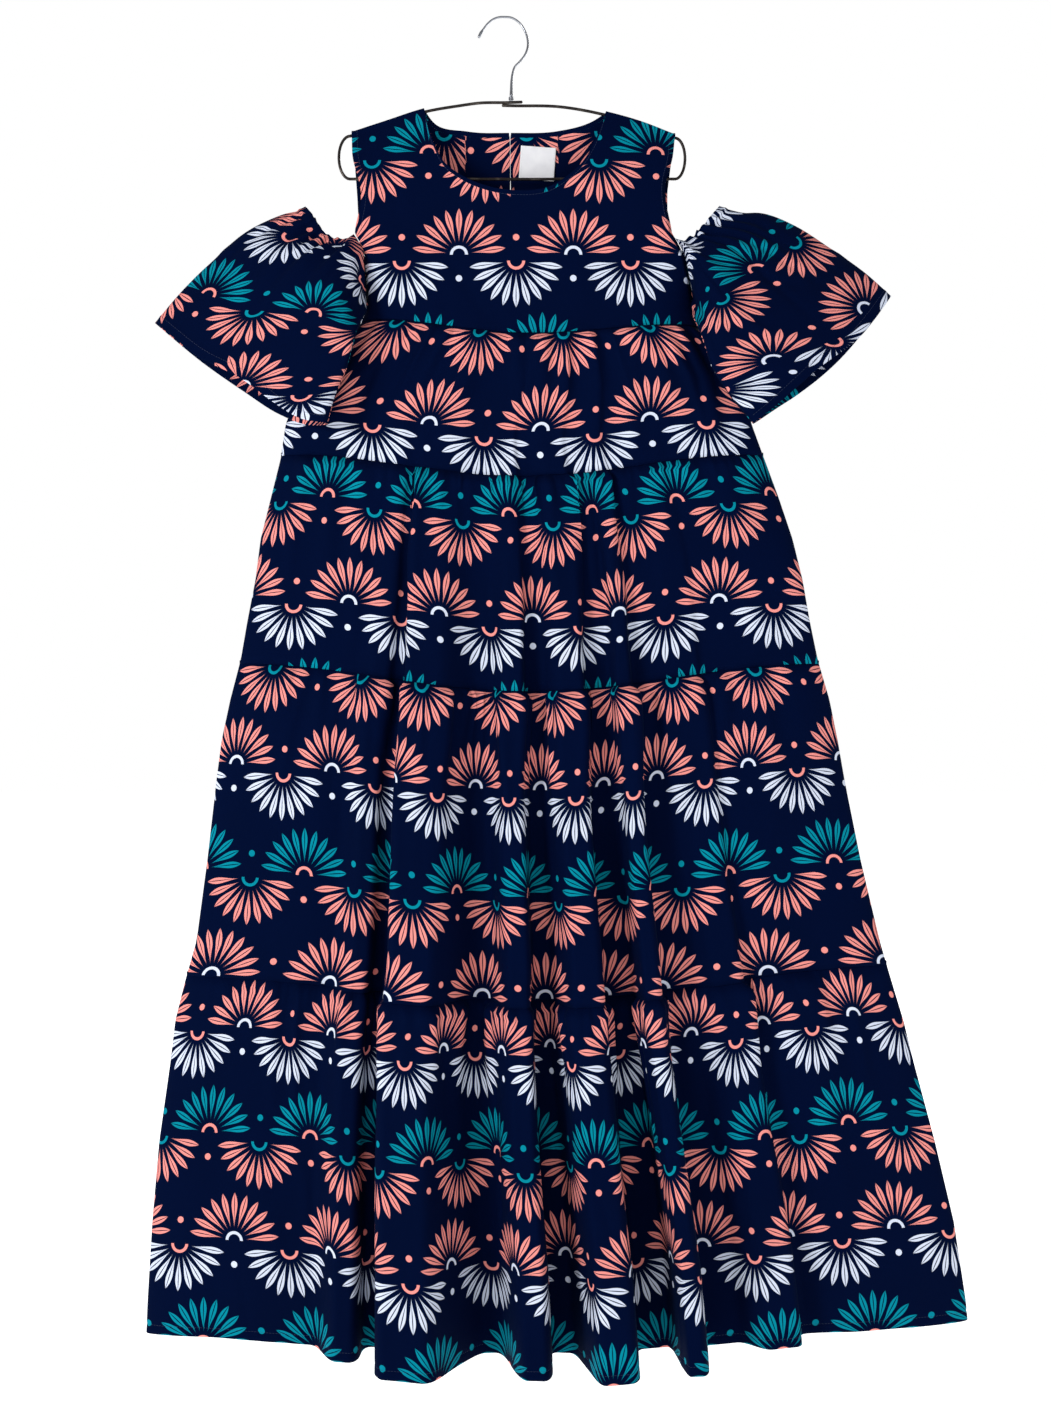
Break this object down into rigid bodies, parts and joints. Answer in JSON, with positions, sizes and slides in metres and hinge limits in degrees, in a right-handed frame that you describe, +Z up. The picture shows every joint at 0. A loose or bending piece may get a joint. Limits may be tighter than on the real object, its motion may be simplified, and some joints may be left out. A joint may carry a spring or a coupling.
{
  "type": "tiered dress on a wire hanger",
  "caption": "Loose dress with a yoke, gathered tiers that widen to the hem and short open-shoulder sleeves, hung on a bent wire hanger by its hook.",
  "frame": {"origin": "inside of the hook's crown, where the hanger hangs on a rail or nail", "axes": "+Z up, +X towards the picture's right (the wearer's left), -Y towards the viewer of the dress's front"},
  "size_m": [0.9478, 0.1893, 1.5354],
  "materials": {
    "cloth": "printed cotton, matt, with a soft sheen",
    "label": "plain woven label",
    "hanger_wire": "dark lacquered wire",
    "hook_metal": "bright plated wire"
  },
  "bodies": {
    "root": {"yoke_front": "cloth", "yoke_back_left": "cloth", "yoke_back_right": "cloth", "tier_1_front": "cloth", "tier_1_back": "cloth", "tier_2_front": "cloth", "tier_2_back": "cloth", "tier_3_front": "cloth", "tier_3_back": "cloth", "tier_4_front": "cloth", "tier_4_back": "cloth", "sleeve_left": "cloth", "sleeve_right": "cloth", "label": "label", "hanger_wire": "hanger_wire", "hanger_collar": "hook_metal", "hanger_hook": "hook_metal"}
  },
  "joints": []
}
